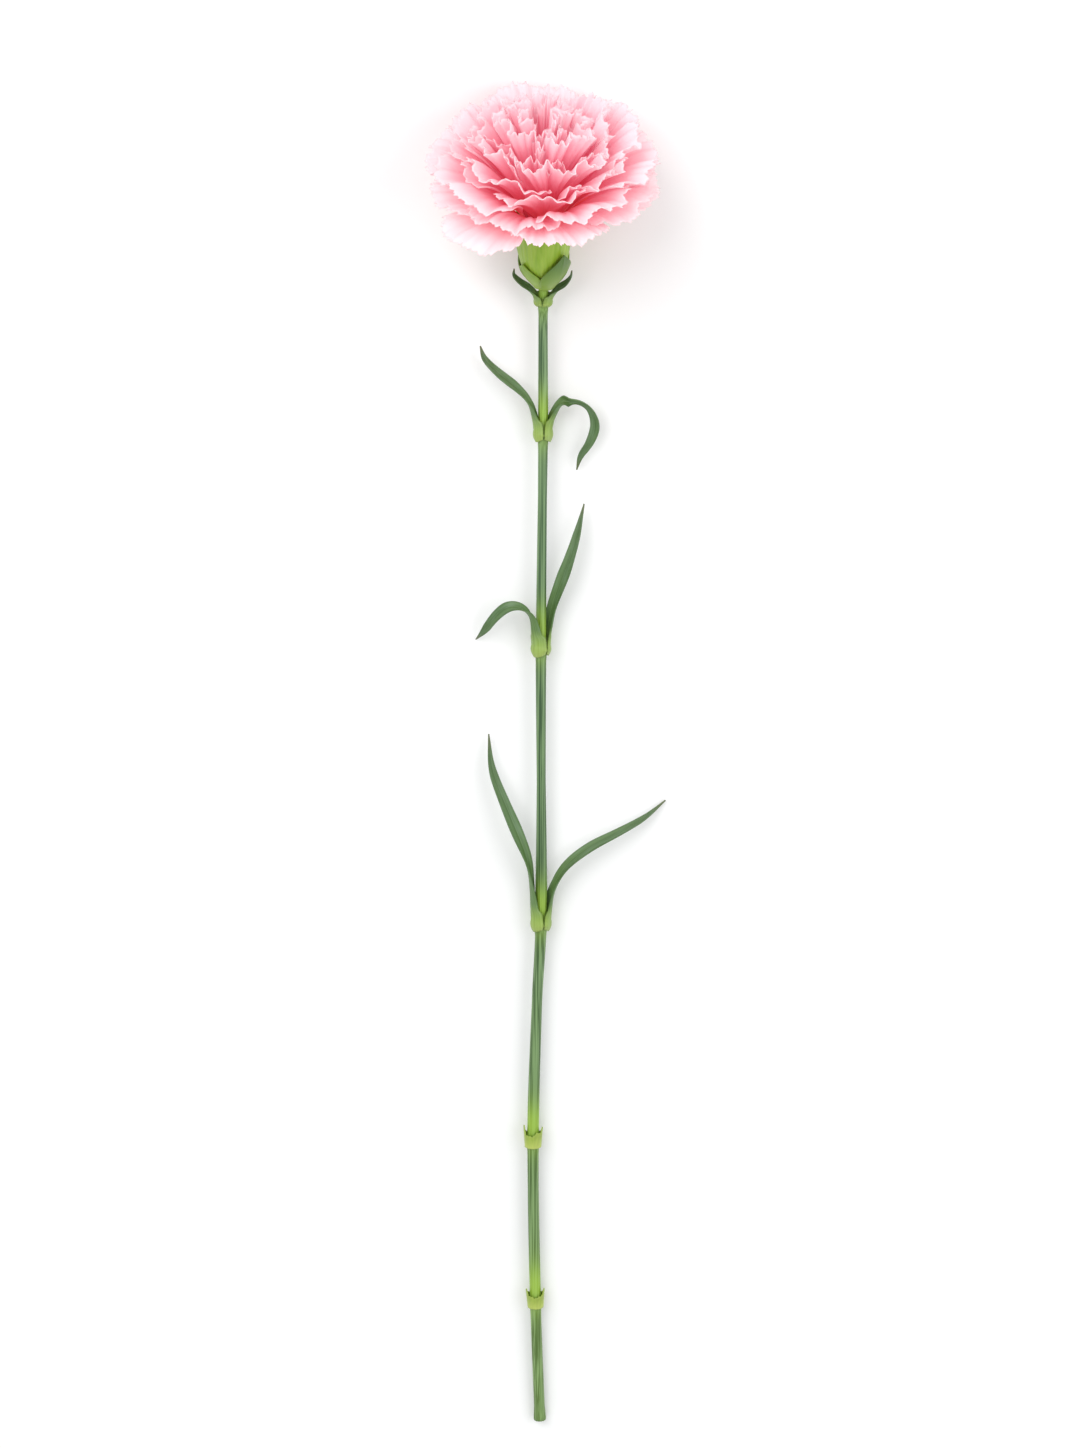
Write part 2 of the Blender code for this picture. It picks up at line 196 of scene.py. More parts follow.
def placeStem(u, v):
    points = np.empty((len(u), 3))
    for value in np.unique(v):
        rows = v == value
        y = stem["low"] + stem["length"] * value
        centre, direction = stemAt(y)
        across, up = roundFrame(direction)
        angle = u[rows] * math.pi
        radius = stemRadius(y) * (1 + stem["ridgeHeight"] * np.cos(stem["ridges"] * angle))
        if value == 0.0:
            radius = radius * stem["cutTaper"]
        outwards = np.cos(angle)[:, None] * across + np.sin(angle)[:, None] * up
        points[rows] = centre + radius[:, None] * outwards
    return points


# Pale young growth just above each node
def nodeGlow(u, v):
    y = stem["low"] + stem["length"] * v - stem["glowAbove"]
    glows = [np.exp(-(((y - node) / stem["glowLength"]) ** 2)) for node in stem["nodes"].values()]
    return sum(glows).clip(0, 1)


# Waxed green shoot: satin, with pale lengthwise ridges, and brighter where each length leaves its node
def stemSkin():
    material, tree, shader = newMaterial("waxedGreenStem")
    place = addNode(tree, "ShaderNodeTexCoord")
    grain = addNode(tree, "ShaderNodeMapping", {"Scale": (1800, 12, 1800)},
                    {"Vector": place.outputs["Object"]})
    streaks = addNode(tree, "ShaderNodeTexNoise", {"Scale": 1.0, "Detail": 4.0},
                      {"Vector": grain.outputs["Vector"]})
    parts = addNode(tree, "ShaderNodeSeparateXYZ", links={"Vector": place.outputs["Object"]})
    height = addNode(tree, "ShaderNodeMapRange", {"From Min": -0.24, "From Max": 0.19},
                     {"Value": parts.outputs["Y"]})
    shades = [(0.0, "#6c8c2c"), (0.3, "#4c6f28"), (0.5, "#3b5d30"), (1.0, "#456a42")]
    along = addNode(tree, "ShaderNodeValToRGB", {"stops": shades}, {"Fac": height.outputs["Result"]})
    contrast = [(0.42, "#223f20"), (0.58, "#8dab78")]
    striped = addNode(tree, "ShaderNodeValToRGB", {"stops": contrast}, {"Fac": streaks.outputs["Fac"]})
    mixed = addNode(tree, "ShaderNodeMix", {"data_type": "RGBA", "Factor": 0.55},
                    {6: along.outputs["Color"], 7: striped.outputs["Color"]})
    glow = addNode(tree, "ShaderNodeAttribute", {"attribute_name": "nodeGlow"})
    glowPart = addNode(tree, "ShaderNodeMath", {"operation": "MULTIPLY", 1: 0.7}, {0: glow.outputs["Fac"]})
    bright = addNode(tree, "ShaderNodeMix", {"data_type": "RGBA", 7: linear("#9dc23a")},
                     {0: glowPart.outputs[0], 6: mixed.outputs[2]})
    tree.links.new(bright.outputs[2], shader.inputs["Base Color"])
    bump = addNode(tree, "ShaderNodeBump", {"Strength": 0.25, "Distance": 0.0002},
                   {"Height": streaks.outputs["Fac"]})
    tree.links.new(bump.outputs["Normal"], shader.inputs["Normal"])
    shader.inputs["Roughness"].default_value = 0.42
    return material


stemPiece = shapeGrid("stemShoot", stem["across"], stem["along"], placeStem, wrap=True,
                      tones={"nodeGlow": nodeGlow})
finishPiece(stemPiece, "stem", stemSkin())
print("stem done")


# Waxy leaf tissue: satin, with fine lengthwise veins, pale grey-green patches that are partly waxy bloom and
# partly painted sheen, a pale cup and a dry tip
def leafSkin(name, cupEnd):
    material, tree, shader = newMaterial(name)
    uv = addNode(tree, "ShaderNodeUVMap", {"uv_map": "UVMap"})
    veins = addNode(tree, "ShaderNodeMapping", {"Scale": (22, 1.2, 1)}, {"Vector": uv.outputs["UV"]})
    lines = addNode(tree, "ShaderNodeTexNoise", {"Scale": 1.0, "Detail": 3.0},
                    {"Vector": veins.outputs["Vector"]})
    wax = addNode(tree, "ShaderNodeMapping", {"Scale": (2.0, 6.0, 1)}, {"Vector": uv.outputs["UV"]})
    clouds = addNode(tree, "ShaderNodeTexNoise", {"Scale": 1.0, "Detail": 2.0},
                     {"Vector": wax.outputs["Vector"]})
    parts = addNode(tree, "ShaderNodeSeparateXYZ", links={"Vector": uv.outputs["UV"]})
    shades = [(0.0, "#b4c85a"), (cupEnd * 0.7, "#9dbb45"), (cupEnd * 1.5, "#55782f"),
              (0.6, "#42652f"), (0.9, "#3a5729"), (1.0, "#5a4a28")]
    along = addNode(tree, "ShaderNodeValToRGB", {"stops": shades}, {"Fac": parts.outputs["Y"]})
    contrast = [(0.35, "#2a4622"), (0.65, "#7d9a66")]
    vein = addNode(tree, "ShaderNodeValToRGB", {"stops": contrast}, {"Fac": lines.outputs["Fac"]})
    mixed = addNode(tree, "ShaderNodeMix", {"data_type": "RGBA", "Factor": 0.42},
                    {6: along.outputs["Color"], 7: vein.outputs["Color"]})
    # pale grey-green patches: partly the leaf's waxy bloom, partly painted sheen
    bloomAndSheenAmount = addNode(tree, "ShaderNodeValToRGB", {"stops": [(0.45, 0.0), (0.8, 0.3)]},
                   {"Fac": clouds.outputs["Fac"]})
    bloomAndSheenMixed = addNode(tree, "ShaderNodeMix", {"data_type": "RGBA", 7: linear("#8ba58a")},
                    {0: bloomAndSheenAmount.outputs["Color"], 6: mixed.outputs[2]})
    tree.links.new(bloomAndSheenMixed.outputs[2], shader.inputs["Base Color"])
    bump = addNode(tree, "ShaderNodeBump", {"Strength": 0.3, "Distance": 0.0002},
                   {"Height": lines.outputs["Fac"]})
    tree.links.new(bump.outputs["Normal"], shader.inputs["Normal"])
    shader.inputs["Roughness"].default_value = 0.48
    return material


# Blades of the leaves: half a clasping cup that opens into a channelled strap. Each leaf has its node, the
# side it leaves on, the points its midline runs through, its half widths, and where its face looks
leaves = {
    "leaf_upper_left": (
        "upper", (-1.0, 0.0, 0.1),
        [(-4.2, 112.4, 7.6), (-8.5, 117.7, 7.8), (-14.7, 122.8, 6.6), (-19.0, 127.2, 5.2),
         (-20.4, 131.4, 4.2)],
        [(0.0, 3.3), (0.2, 2.1), (0.45, 2.1), (0.8, 1.2), (1.0, 0.12)], (0.55, 0.4, 0.7),
    ),
    "leaf_upper_right": (
        "upper", (1.0, 0.0, -0.1),
        [(7.2, 112.3, 6.2), (12.0, 113.2, 6.0), (16.6, 110.4, 5.6), (18.4, 104.8, 5.0),
         (16.6, 98.6, 4.2), (13.4, 93.6, 3.4), (12.1, 88.8, 2.6)],
        [(0.0, 3.3), (0.2, 2.1), (0.5, 1.9), (0.8, 1.3), (1.0, 0.12)], (-0.3, -0.75, 0.45),
    ),
    "leaf_middle_left": (
        "middle", (-0.75, 0.0, 0.66),
        [(-3.8, 39.6, 10.4), (-7.2, 42.6, 11.0), (-11.4, 42.6, 10.0), (-15.6, 38.9, 7.8),
         (-19.4, 33.4, 4.9), (-22.4, 29.4, 0.9)],
        [(0.0, 3.4), (0.18, 2.2), (0.5, 2.0), (0.8, 1.4), (1.0, 0.12)], (0.25, 0.5, 0.8),
    ),
    "leaf_middle_right": (
        "middle", (0.75, 0.0, -0.66),
        [(4.2, 41.6, 5.0), (6.6, 49.6, 6.4), (9.4, 57.6, 6.8), (12.2, 66.8, 5.8), (14.6, 77.3, 3.8)],
        [(0.0, 3.4), (0.2, 2.3), (0.5, 2.4), (0.8, 1.5), (1.0, 0.12)], (-0.5, 0.1, 0.8),
    ),
    "leaf_lower_left": (
        "lower", (-0.95, 0.0, 0.3),
        [(-3.7, -57.1, 6.4), (-5.0, -47.3, 7.8), (-8.6, -37.0, 8.2), (-12.9, -26.6, 7.0),
         (-17.0, -15.4, 4.9), (-18.0, -3.8, 2.4)],
        [(0.0, 3.5), (0.2, 2.4), (0.5, 2.4), (0.8, 1.6), (1.0, 0.12)], (0.5, -0.1, 0.8),
    ),
    "leaf_lower_right": (
        "lower", (0.95, 0.0, -0.3),
        [(4.6, -58.8, 5.2), (9.0, -50.4, 6.0), (17.0, -43.6, 6.2), (27.0, -38.4, 5.2),
         (36.0, -33.6, 3.2), (43.2, -27.9, 0.9)],
        [(0.0, 3.5), (0.2, 2.3), (0.5, 2.2), (0.8, 1.4), (1.0, 0.12)], (-0.5, 0.5, 0.5),
    ),
    "leaf_neck_left": (
        "neck", (-0.97, 0.0, -0.1),
        [(-4.4, 151.4, 8.8), (-7.2, 153.8, 10.0), (-9.2, 156.2, 11.2), (-8.9, 158.4, 12.2)],
        [(0.0, 2.4), (0.3, 1.9), (0.7, 1.2), (1.0, 0.12)], (0.5, 0.6, 0.5),
    ),
    "leaf_neck_right": (
        "neck", (0.97, 0.0, 0.1),
        [(5.9, 151.2, 9.4), (8.6, 153.6, 11.4), (10.0, 155.8, 13.4), (10.2, 158.2, 15.2)],
        [(0.0, 2.4), (0.3, 1.9), (0.7, 1.2), (1.0, 0.12)], (-0.4, 0.6, 0.5),
    ),
}
leafShape = {
    "cups": {"large": ((2.3, 2.8), 0.7, 6.8), "small": ((1.9, 2.6), 0.5, 3.4)},        # radii, wall, length
    "cupStations": 9, "bladeStations": 50, "wrap": 89.5, "opening": 11.0, "bladeSpan": 26.0, "twist": 1.8,
    "gap": 0.36, "below": 0.35, "swell": 0.45, "keel": 0.12, "keelWidth": 0.16, "keelStart": 0.12,
    "across": 20, "along": 90,
}


def leafPlacer(node, outward, path, widths, facing):
    cup, wall, cupLength = leafShape["cups"]["small" if node == "neck" else "large"]
    nodeY = stem["nodes"][node]
    outward = np.array(outward)
    direction = stemAt(nodeY)[1]
    outward = unit(outward - direction * outward.dot(direction))
    stations = []
    cupRadius = max(stemRadius(nodeY) + leafShape["gap"] + wall / 2, cup[0])
    for j in np.linspace(0, 1, leafShape["cupStations"]):
        at = stemAt(nodeY + cupLength * (j - leafShape["below"]))[0]
        radius = cupRadius - 0.35 * (1 - j) ** 4 + leafShape["swell"] * math.sin(math.pi * min(j * 1.6, 1))
        radius += (cup[1] - cup[0]) * j
        span = math.radians(leafShape["wrap"] - leafShape["opening"] * j * j)
        stations.append((at + outward * radius, -outward, span, radius))
    curve = [tuple(stations[-1][0])] + path
    places, values = zip(*widths)
    cupSpan = leafShape["wrap"] - leafShape["opening"]
    for f in np.linspace(0, 1, leafShape["bladeStations"])[1:]:
        turn = min(f * leafShape["twist"], 1.0)
        normal = -outward * (1 - turn) + np.array(facing) * turn
        span = math.radians(cupSpan + (leafShape["bladeSpan"] - cupSpan) * min(f * 2.2, 1))
        half = np.interp(f, places, values)
        stations.append((splineThrough(curve, f * (len(curve) - 1)), normal, span, half / span))
    centres = np.array([s[0] for s in stations])
    for _ in range(3):        # eases the bend where the cup turns into the blade
        centres[7:-1] = (centres[6:-2] + centres[7:-1] * 2 + centres[8:]) / 4
    steps = np.r_[0, np.cumsum(np.linalg.norm(np.diff(centres, axis=0), axis=1))]
    steps = steps / steps[-1]
    normals = np.array([s[1] for s in stations])
    spans, radii = np.array([s[2] for s in stations]), np.array([s[3] for s in stations])

    def place(u, v):
        points = np.empty((len(u), 3))
        for value in np.unique(v):
            rows = v == value
            at = np.array([np.interp(value, steps, centres[:, i]) for i in range(3)])
            ahead = np.array([np.interp(min(value + 0.02, 1), steps, centres[:, i]) for i in range(3)])
            behind = np.array([np.interp(max(value - 0.02, 0), steps, centres[:, i]) for i in range(3)])
            along = unit(ahead - behind)
            normal = np.array([np.interp(value, steps, normals[:, i]) for i in range(3)])
            normal = unit(normal - along * normal.dot(along))
            across = np.cross(along, normal)
            a = np.interp(value, steps, spans) * u[rows]
            r = np.interp(value, steps, radii)
            keel = leafShape["keel"] * np.exp(-((u[rows] / leafShape["keelWidth"]) ** 2))
            keel = keel * float(value >= leafShape["keelStart"])
            points[rows] = (at + across * (r * np.sin(a))[:, None]
                            + normal * (r * (1 - np.cos(a)) - keel)[:, None])
        return points

    return place, steps[leafShape["cupStations"] - 1]


for name, (node, outward, path, widths, facing) in leaves.items():
    place, cupEnd = leafPlacer(node, outward, path, widths, facing)
    leaf = shapeGrid(name + "_blade", leafShape["across"], leafShape["along"], place,
                     thickness=0.35 if node == "neck" else 0.5)
    finishPiece(leaf, name, leafSkin(name + "_waxedLeaf", cupEnd))
print("leaves done")


# A point of the head, by its distance from the head's middle line, its angle and its height above the foot
def flowerPlace(radius, angle, height):
    outwards = sideways * np.cos(angle)[:, None] + front * np.sin(angle)[:, None]
    return foot + axis * height[:, None] + outwards * radius[:, None]


# Goblet of the calyx and the four scales round its foot
calyx = {
    "heights": (0.0, 1.5, 3.5, 6.0, 9.5, 15.0, 22.0, 26.5), "radii": (2.4, 3.1, 4.7, 6.3, 7.6, 8.8, 9.6, 9.8),
    "top": 28.5, "teeth": 5, "toothLength": 3.2, "ribs": 35, "ribHeight": 0.05, "middle": 0.3, "wall": 0.5,
    "across": 210, "along": 50,
}


def calyxRadius(height):
    smooth = np.linspace(-1.2, 1.2, 7)
    return sum(np.interp(height + s, calyx["heights"], calyx["radii"]) for s in smooth) / len(smooth)


def placeCalyx(u, v):
    angle = u * math.pi
    tooth = 1 - np.abs(((angle * calyx["teeth"] / (2 * math.pi)) % 1.0) * 2 - 1)
    height = v * (calyx["top"] - calyx["toothLength"] * tooth * v**3)
    ribs = calyx["ribHeight"] * np.cos(angle * calyx["ribs"])
    return flowerPlace(calyxRadius(height) - calyx["middle"] + ribs, angle, height)


# Fresh green tissue of the head and cups: satin, paler at its foot, with a streak down each rib
def greenSkin(name, low, high, streak, ribs):
    material, tree, shader = newMaterial(name)
    uv = addNode(tree, "ShaderNodeUVMap", {"uv_map": "UVMap"})
    stretch = addNode(tree, "ShaderNodeMapping", {"Scale": (ribs, 2.0, 1)}, {"Vector": uv.outputs["UV"]})
    lines = addNode(tree, "ShaderNodeTexNoise", {"Scale": 1.0, "Detail": 3.0},
                    {"Vector": stretch.outputs["Vector"]})
    parts = addNode(tree, "ShaderNodeSeparateXYZ", links={"Vector": uv.outputs["UV"]})
    shades = [(0.0, low), (0.75, high), (1.0, high)]
    along = addNode(tree, "ShaderNodeValToRGB", {"stops": shades}, {"Fac": parts.outputs["Y"]})
    contrast = [(0.35, streak), (0.65, high)]
    vein = addNode(tree, "ShaderNodeValToRGB", {"stops": contrast}, {"Fac": lines.outputs["Fac"]})
    mixed = addNode(tree, "ShaderNodeMix", {"data_type": "RGBA", "Factor": 0.4},
                    {6: along.outputs["Color"], 7: vein.outputs["Color"]})
    tree.links.new(mixed.outputs[2], shader.inputs["Base Color"])
    bump = addNode(tree, "ShaderNodeBump", {"Strength": 0.3, "Distance": 0.0002},
                   {"Height": lines.outputs["Fac"]})
    tree.links.new(bump.outputs["Normal"], shader.inputs["Normal"])
    shader.inputs["Roughness"].default_value = 0.4
    return material


calyxPiece = shapeGrid("calyxGoblet", calyx["across"], calyx["along"], placeCalyx,
                       thickness=calyx["wall"], wrap=True)
finishPiece(calyxPiece, "calyx", greenSkin("ribbedCalyx", "#98b83a", "#7fa61e", "#b4cc58", 26))

# Each scale's middle and half angle in degrees, its length and how far it stands off the calyx
bracts = {"bract_inner_1": (138, 66, 12.5, 0.3), "bract_inner_2": (325, 66, 14.0, 0.3),
          "bract_outer_1": (50, 60, 17.5, 0.95), "bract_outer_2": (235, 66, 14.0, 0.95)}


def bractPlacer(middle, halfAngle, length, offset):
    start = 0.9

    def place(u, v):
        height = start + (length - start) * v
        spread = math.radians(halfAngle) * (1 - v**1.7) * (0.75 + 0.25 * np.sin(v * math.pi)) + 0.01
        radius = calyxRadius(height) + offset + 0.25 + 0.3 * v + 0.15 * np.exp(-((u / 0.15) ** 2))
        return flowerPlace(radius, math.radians(middle) + u * spread, height)

    return place


for name, shape in bracts.items():
    scale = shapeGrid(name + "_scale", 28, 28, bractPlacer(*shape), thickness=0.4)
    light, dark = ("#a3bf45", "#4d7026") if "outer" in name else ("#b3cb52", "#7fa32c")
    finishPiece(scale, name, greenSkin(name + "_bractSkin", light, dark, "#55782a", 24))

# Torn cups where leaves were stripped off: each tip's angle and how far it still stands up
sheaths = {"sheath_bare_node": ("bare", [(175, 3.2), (5, 2.6), (60, 1.2)]),
           "sheath_lowest_node": ("lowest", [(170, 2.2), (10, 2.4)])}


def sheathPlacer(node, tips):
    nodeY = stem["nodes"][node]
    below, rim = 2.4, 2.2

    def place(u, v):
        points = np.empty((len(u), 3))
        for i, (a, b) in enumerate(zip(u * math.pi, v)):
            reach = rim + 0.25 * math.sin(a * 7) + 0.2 * math.sin(a * 17 + 1)
            for tip, extra in tips:
                turn = math.atan2(math.sin(a - math.radians(tip)), math.cos(a - math.radians(tip)))
                reach += extra * math.exp(-((turn / 0.5) ** 2))
            centre, direction = stemAt(nodeY - below + (below + reach) * b)
            across, up = roundFrame(direction)
            radius = stemRadius(nodeY) + 0.45 + 0.5 * b
            points[i] = centre + (across * math.cos(a) + up * math.sin(a)) * radius
        return points

    return place


for name, (node, tips) in sheaths.items():
    cup = shapeGrid(name + "_cup", 60, 14, sheathPlacer(node, tips), thickness=0.4, wrap=True)
    finishPiece(cup, name, greenSkin(name + "_tornCup", "#c4d26a", "#96ad42", "#7d8c3c", 30))
print("calyx, scales and cups done")


# Petals: thin, toothed and ruffled, each on its own curve of one fan. Lengths are in millimetres and angles
# in degrees, and t runs from 0 at the heart to 1 at the outermost petal
bloom = {
    "petals": 42, "goldenAngle": 137.508, "firstAngle": 32.0, "seed": 500,
    "mouth": 26.0, "mouthRadii": (1.5, 7.4), "clawFoot": 5.35, "clawFootRadii": (1.0, 4.2), "clawShare": 0.16,
    "clawHalf": 0.62, "clawFootHalf": 0.42, "clawGrowth": 0.2, "neck": 8, "radius": 38.5, "domeBase": 38.5,
    "domeHeight": 32.0, "backRise": 0.5, "frontRise": 2.5, "firstTip": 8.0, "lastTip": 97.0, "tipPower": 0.85,
    "droop": 1.12, "edgeReach": 0.36, "sink": 0.8, "guardSpread": 29.0, "heartSpread": 25.0,
    "leftSag": 2.5, "leftAngle": 132, "frontLift": 3.0, "frontAngle": 80,
    "across": 110, "along": 44, "thickness": 0.22,
}


# Distance from the middle line and height of a petal at share s of its length
def petalCurve(t, angle, s):
    tip = np.radians(bloom["firstTip"] + (bloom["lastTip"] - bloom["firstTip"]) * t ** bloom["tipPower"])
    back = (1 - np.sin(angle)) / 2
    edgeRadius = bloom["radius"] * np.sin(tip)
    edgeHeight = bloom["domeBase"] + bloom["domeHeight"] * np.cos(tip)
    edgeHeight = edgeHeight + bloom["backRise"] * back * np.sin(tip) ** 2
    edgeHeight = edgeHeight + bloom["frontRise"] * (1 - back) * np.sin(2 * np.minimum(tip, 1.57)) ** 2
    down = np.maximum(-np.sin(angle) * math.cos(tilt), 0.05)
    toFloor = foot[2] + edgeHeight * math.sin(tilt) + bloom["sink"]
    edgeRadius = np.minimum(edgeRadius, toFloor / down)
    first, last = bloom["mouthRadii"]
    mouthRadius = np.sqrt(first**2 + (last**2 - first**2) * t)
    lean = np.radians(4 + 20 * t)
    droop = tip * bloom["droop"]
    reach = np.hypot(edgeRadius - mouthRadius, edgeHeight - bloom["mouth"]) * bloom["edgeReach"]
    mouth, neck = bloom["mouth"], bloom["neck"]
    radii = (mouthRadius, mouthRadius + neck * np.sin(lean), edgeRadius - reach * np.sin(droop), edgeRadius)
    heights = (mouth, mouth + neck * np.cos(lean), edgeHeight - reach * np.cos(droop), edgeHeight)
    weights = ((1 - s) ** 3, 3 * s * (1 - s) ** 2, 3 * s * s * (1 - s), s**3)
    return sum(w * r for w, r in zip(weights, radii)), sum(w * h for w, h in zip(weights, heights))


def zigzag(x):
    return np.abs((x % 1.0) * 2 - 1) * 2 - 1


# One petal's shape: claw inside the calyx, then a fan with teeth, folds, a crease and its own lift
def petalPlacer(index):
    dice = random.Random(bloom["seed"] + index)
    t = (index + 0.5) / bloom["petals"]
    middle = math.radians(bloom["goldenAngle"] * index + bloom["firstAngle"])
    fullSpread = math.radians(bloom["guardSpread"] + bloom["heartSpread"] * (1 - t) ** 1.2)
    side = t**3 * (0.05 * math.cos(middle) ** 2 + 0.03 * max(-math.cos(middle), 0))
    length = dice.uniform(0.88 + 0.06 * t, 1.05) + side
    first, last = bloom["clawFootRadii"]
    footRadius = math.sqrt(first**2 + (last**2 - first**2) * t)
    phases = [dice.uniform(0, 1) for _ in range(8)]
    folds = dice.uniform(2.4, 3.8) - 0.9 * t**2
    crumple = 3.5 - 2.3 * t
    crease = dice.choice((-1, 1)) * dice.uniform(1.5, 4.5) * (1 - t)
    lifted = dice.uniform(-1.6, 2.2) * (1 - 0.8 * t)
    roll = dice.choice((-1, 1)) * dice.uniform(1.2, 3.8) * (1 - 0.7 * t)

    def base(u, v):
        share = bloom["clawShare"]
        k = np.clip((v - share) / (1 - share), 0, 1)
        claw = np.clip(v / share, 0, 1)
        teeth = 0.030 * (0.5 + 0.5 * zigzag(9.5 * u + phases[0]))
        teeth = teeth + 0.022 * (0.5 + 0.5 * zigzag(21 * u + phases[1]))
        notches = np.sin(5.3 * u + 6.28 * phases[2]) * np.sin(13 * u + phases[3])
        teeth = teeth + 0.05 * np.clip(notches, 0, 1) ** 2
        s = k * length * (1 - 0.16 * np.abs(u) ** 3 - teeth * k**4)
        grow = np.minimum(k / 0.75, 1.0)
        grow = grow * grow * (3 - 2 * grow)
        mouthRadius = petalCurve(t, middle, np.zeros(1))[0][0]
        spread = bloom["clawHalf"] / mouthRadius * (1 - grow) + fullSpread * grow
        angle = middle + u * spread
        radius, height = petalCurve(t, angle, s)
        clawRadius = footRadius + (mouthRadius - footRadius) * claw
        clawHeight = bloom["clawFoot"] + (bloom["mouth"] - bloom["clawFoot"]) * claw
        clawSpread = (bloom["clawFootHalf"] + bloom["clawGrowth"] * claw) / clawRadius
        isClaw = v < share
        radius = np.where(isClaw, clawRadius, radius)
        height = np.where(isClaw, clawHeight, height)
        angle = np.where(isClaw, middle + u * clawSpread, angle)
        return flowerPlace(radius, angle, height), k

    def place(u, v):
        points, k = base(u, v)
        step = 0.01
        acrossStep = base(np.clip(u + step, -1, 1), v)[0] - base(np.clip(u - step, -1, 1), v)[0]
        alongStep = base(u, np.clip(v + step, 0, 1))[0] - base(u, np.clip(v - step, 0, 1))[0]
        normal = np.cross(acrossStep, alongStep)
        normal /= np.maximum(np.linalg.norm(normal, axis=1), 1e-9)[:, None]
        wide = folds * u / 2 + phases[4] + 0.15 * np.sin(3 * k + 6 * phases[5])
        ruffle = 0.62 * np.sin(2 * math.pi * wide) + 0.3 * zigzag(2.1 * wide + phases[6])
        ruffle = ruffle + 0.26 * np.sin(2 * math.pi * (3.7 * wide + phases[7]) + 2 * k) * k
        shiftOut = crumple * k**1.6 * ruffle
        inward = (-0.8 * u * u * k + crease * (np.abs(u) - 0.4)) * (1 - t) * k**2
        atLeft = max(math.cos(middle - math.radians(bloom["leftAngle"])), 0) ** 3
        atFront = max(math.cos(middle - math.radians(bloom["frontAngle"])), 0) ** 6
        sag = (bloom["leftSag"] * atLeft - bloom["frontLift"] * atFront) * t**5 * k**2
        raised = (lifted + roll * u) * k**3 - sag
        return points + normal * (shiftOut + inward)[:, None] + axis * raised[:, None]

    return place, t


# Soft petal tissue: matt and thin enough to glow through, pale at the toothed edge, deep pink towards the claw
# and deeper still in the heart;
# that deep pink is partly the petal's own colour and partly painted recess shade. A faint painted glow stands
# in for the light that packed petals pass on to each other
def petalSkin():
    material, tree, shader = newMaterial("softPetalTissue")
    uv = addNode(tree, "ShaderNodeUVMap", {"uv_map": "UVMap"})
    parts = addNode(tree, "ShaderNodeSeparateXYZ", links={"Vector": uv.outputs["UV"]})
    age = addNode(tree, "ShaderNodeAttribute", {"attribute_name": "age"})
    veins = addNode(tree, "ShaderNodeMapping", {"Scale": (26, 1.6, 1)}, {"Vector": uv.outputs["UV"]})
    lines = addNode(tree, "ShaderNodeTexNoise", {"Scale": 1.0, "Detail": 3.0},
                    {"Vector": veins.outputs["Vector"]})
    wander = addNode(tree, "ShaderNodeMath", {"operation": "MULTIPLY_ADD", 1: 0.1},
                     {0: lines.outputs["Fac"], 2: parts.outputs["Y"]})
    # painted recess shade: the deep pinks at the low end of each ramp, towards the claw, are partly own colour
    # and partly painted shade of packed petals
    heartPinksAndRecessShade = [(0.46, "#dc2048"), (0.6, "#f06a8e"), (0.74, "#f8aec2"), (0.88, "#fccfdb"), (1.0, "#feeaef")]
    guardPinksAndRecessShade = [(0.36, "#f4644f"), (0.5, "#fbb0a6"), (0.64, "#fdd2d4"), (0.8, "#fee6e9"), (1.0, "#fff4f5")]
    heart = addNode(tree, "ShaderNodeValToRGB", {"stops": heartPinksAndRecessShade}, {"Fac": wander.outputs[0]})
    guard = addNode(tree, "ShaderNodeValToRGB", {"stops": guardPinksAndRecessShade}, {"Fac": wander.outputs[0]})
    mixed = addNode(tree, "ShaderNodeMix", {"data_type": "RGBA"},
                    {0: age.outputs["Fac"], 6: heart.outputs["Color"], 7: guard.outputs["Color"]})
    tree.links.new(mixed.outputs[2], shader.inputs["Base Color"])
    bump = addNode(tree, "ShaderNodeBump", {"Strength": 0.25, "Distance": 0.0003},
                   {"Height": lines.outputs["Fac"]})
    tree.links.new(bump.outputs["Normal"], shader.inputs["Normal"])
    shader.inputs["Roughness"].default_value = 0.6
    # painted glow: a weak pink emission standing in for light passed between packed petals
    shader.inputs["Emission Color"].default_value = linear("#ff6a88")
    shader.inputs["Emission Strength"].default_value = 0.12
    backlit = addNode(tree, "ShaderNodeBsdfTranslucent", links={"Color": mixed.outputs[2]})
    thin = addNode(tree, "ShaderNodeMixShader", {"Fac": 0.3},
                   {1: shader.outputs["BSDF"], 2: backlit.outputs["BSDF"]})
    tree.links.new(thin.outputs["Shader"], tree.nodes["Material Output"].inputs["Surface"])
    return material


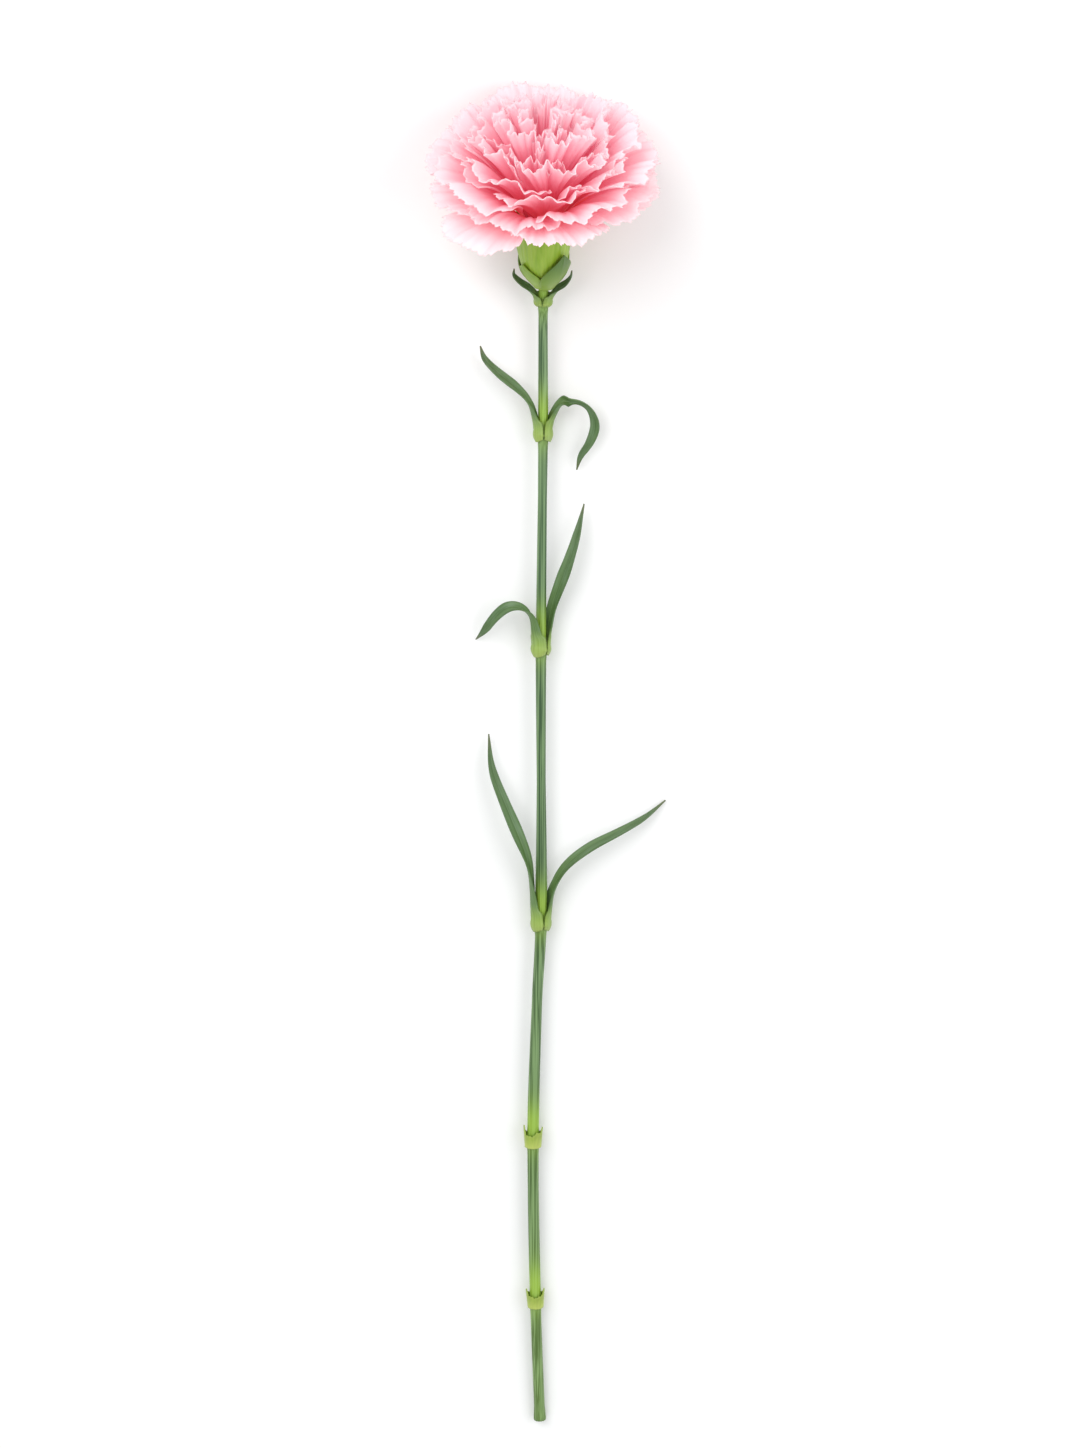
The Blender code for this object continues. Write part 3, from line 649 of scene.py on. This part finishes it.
petalTissue = petalSkin()
for index in range(bloom["petals"]):
    place, t = petalPlacer(index)
    name = f"petal_{index + 1:02d}"
    petal = shapeGrid(name + "_ruffled", bloom["across"], bloom["along"], place, thickness=bloom["thickness"],
                      tones={"age": lambda u, v, t=t: t * np.ones_like(u)})
    finishPiece(petal, name, petalTissue)
print("petals done")


# Matt pale floor: keeps a soft shadow and shows no shine
def paleFloor():
    bpy.ops.mesh.primitive_plane_add(size=6, location=(0, 0, 0))
    floor = bpy.context.active_object
    floor.name = "paleFloor"
    material, tree, shader = newMaterial("paleMattFloor")
    shader.inputs["Base Color"].default_value = linear("#f3f3f2")
    shader.inputs["Roughness"].default_value = 0.9
    floor.data.materials.append(material)
    floor.select_set(False)


paleFloor()
print("floor done")

# Soft light from all round, and two windows
world = bpy.data.worlds.new("softWhiteRoom")
bpy.context.scene.world = world
world.use_nodes = True
world.node_tree.nodes["Background"].inputs["Color"].default_value = linear("#f7f8fa")
world.node_tree.nodes["Background"].inputs["Strength"].default_value = 0.85

lamps = {
    "windowLeft": {"place": (-0.7, 0.9, 1.3), "size": 1.2, "power": 13.0},
    "windowRight": {"place": (1.0, 0.3, 1.1), "size": 0.9, "power": 6.0},
}
for name, lamp in lamps.items():
    bpy.ops.object.light_add(type="AREA", location=lamp["place"])
    light = bpy.context.active_object
    light.name = name
    light.data.size = lamp["size"]
    light.data.energy = lamp["power"]
    light.rotation_euler = Vector(lamp["place"]).to_track_quat("Z", "Y").to_euler()

# Camera above the lying flower, looking down on it a little from the head's side
view = {"distance": 1.35, "tilt": 14.0, "target": (0.0, 0.0, 3.5), "lens": 129.7, "centre": 541,
        "width": 1086}
bpy.ops.object.camera_add()
camera = bpy.context.active_object
camera.name = "tableCamera"
target = (np.array(view["target"]) + shift) / 1000
lean = math.radians(view["tilt"])
camera.location = target + view["distance"] * np.array([0.0, math.sin(lean), math.cos(lean)])
camera.rotation_euler = (-lean, 0, 0)
camera.data.lens = view["lens"]
camera.data.sensor_fit = "HORIZONTAL"
camera.data.sensor_width = 36
camera.data.shift_x = (view["width"] / 2 - view["centre"]) / view["width"]
bpy.context.scene.camera = camera
bpy.context.scene.view_settings.view_transform = "Standard"
print("light and camera done")
